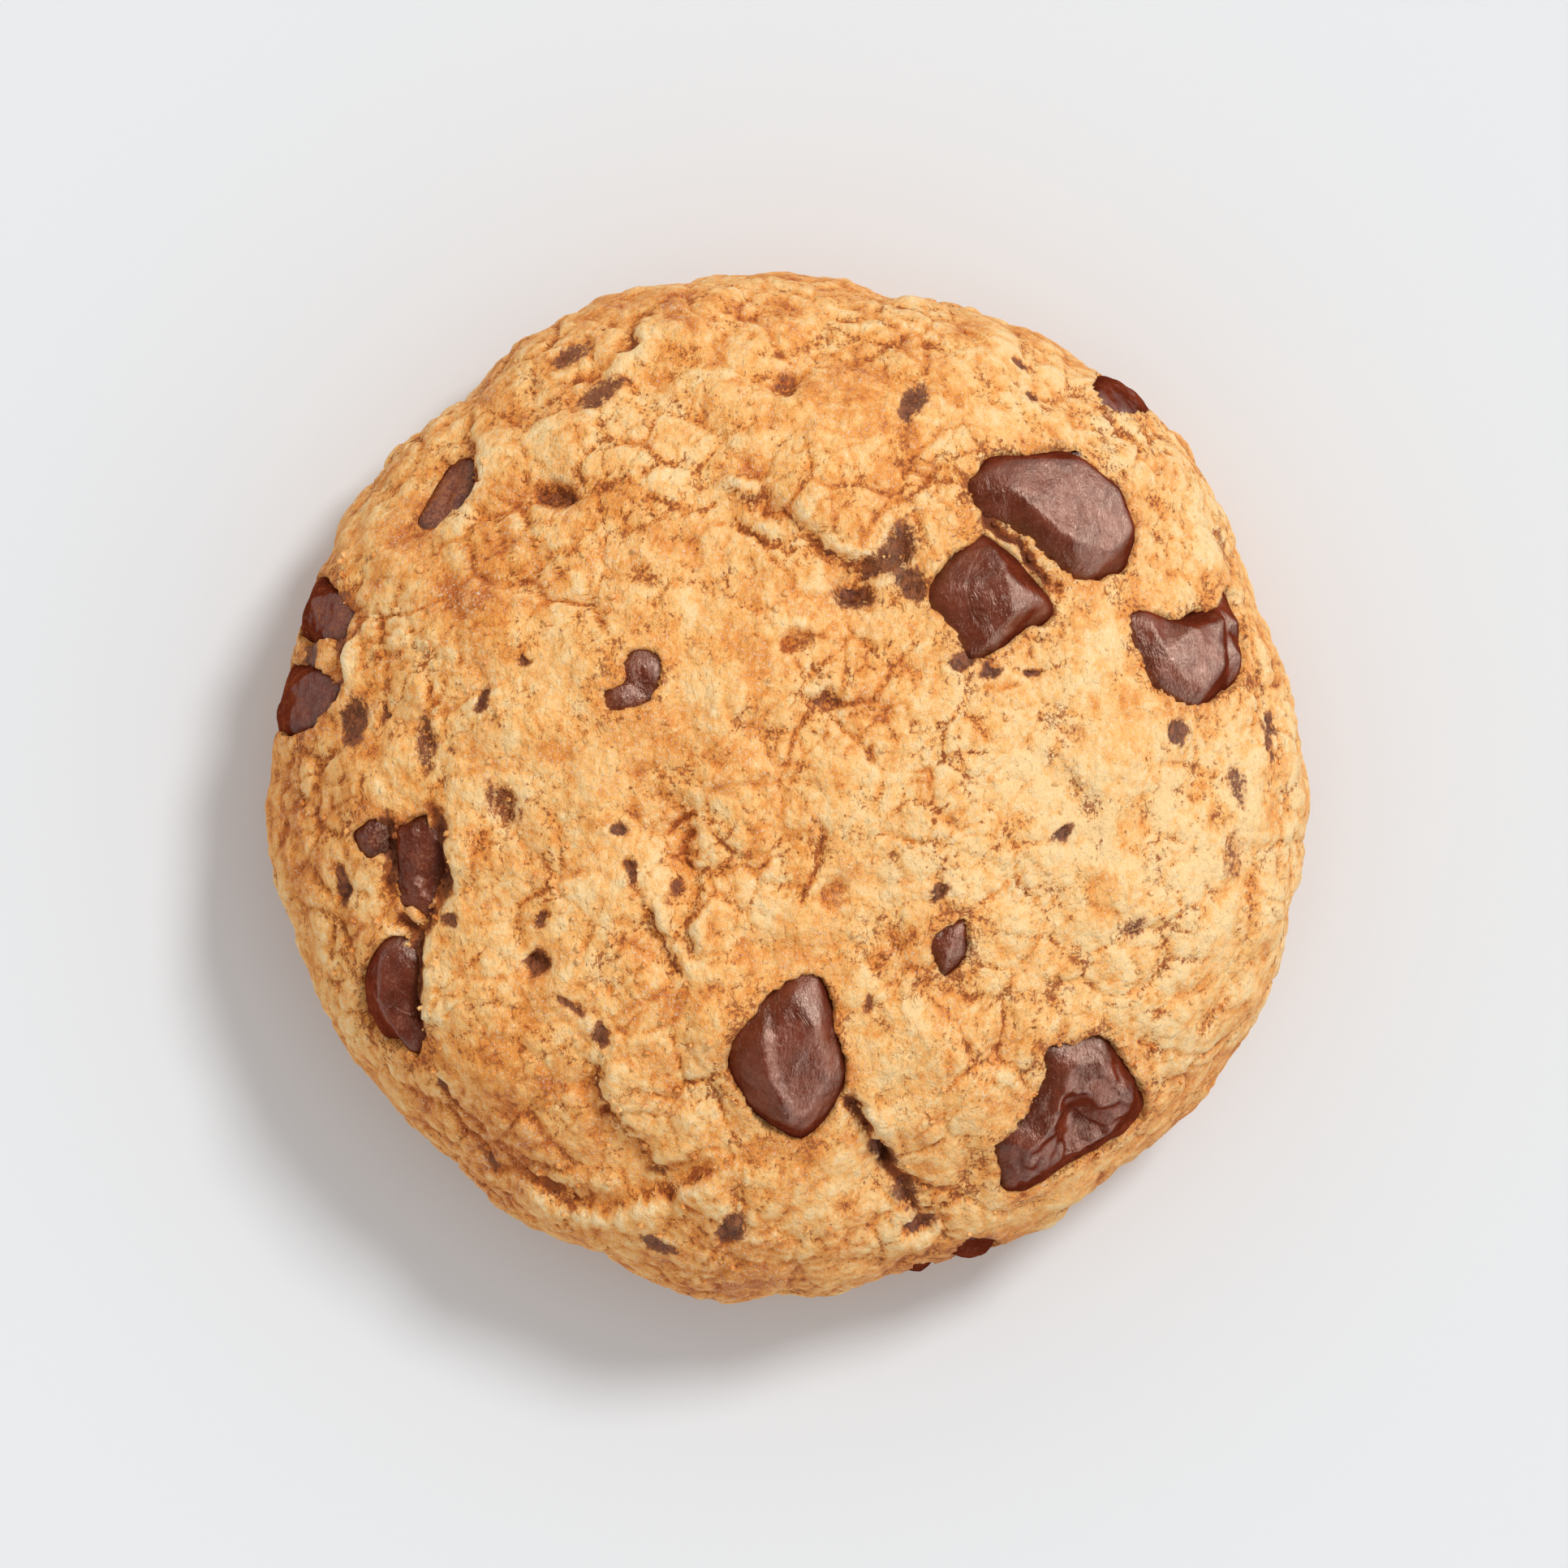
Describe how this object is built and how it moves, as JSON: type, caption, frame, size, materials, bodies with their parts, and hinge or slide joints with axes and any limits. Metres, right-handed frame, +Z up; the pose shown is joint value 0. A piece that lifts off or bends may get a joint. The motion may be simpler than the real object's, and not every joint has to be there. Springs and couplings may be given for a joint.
{
  "type": "new york style chocolate chip cookie",
  "caption": "Thick domed round cookie with a craggy golden crust and large chocolate chips set in its top and sides, resting on a flat base.",
  "frame": {"origin": "under the middle of the flat base, at the height of the surface it rests on", "axes": "+Z up through the crown; +Y towards the far edge and +X towards the right edge as seen from above"},
  "size_m": [0.09, 0.089, 0.036],
  "materials": {
    "baked_dough": "matte, crumbly golden crust with toasted patches",
    "chocolate": "satin dark chocolate, finely wrinkled"
  },
  "bodies": {
    "root": {"dough": "baked_dough", "chip_upper_right": "chocolate", "chip_cone": "chocolate", "chip_right": "chocolate", "chip_lower_middle": "chocolate", "chip_lower_right": "chocolate", "chip_small_middle": "chocolate", "chip_left_middle": "chocolate", "chip_left_small": "chocolate", "chip_left_melted": "chocolate", "chip_lower_left": "chocolate", "chip_upper_left": "chocolate", "chip_left_side_upper": "chocolate", "chip_left_side_lower": "chocolate", "chip_rim_upper_right": "chocolate", "chip_rim_lower_right": "chocolate", "chip_rim_bottom": "chocolate"}
  },
  "joints": []
}
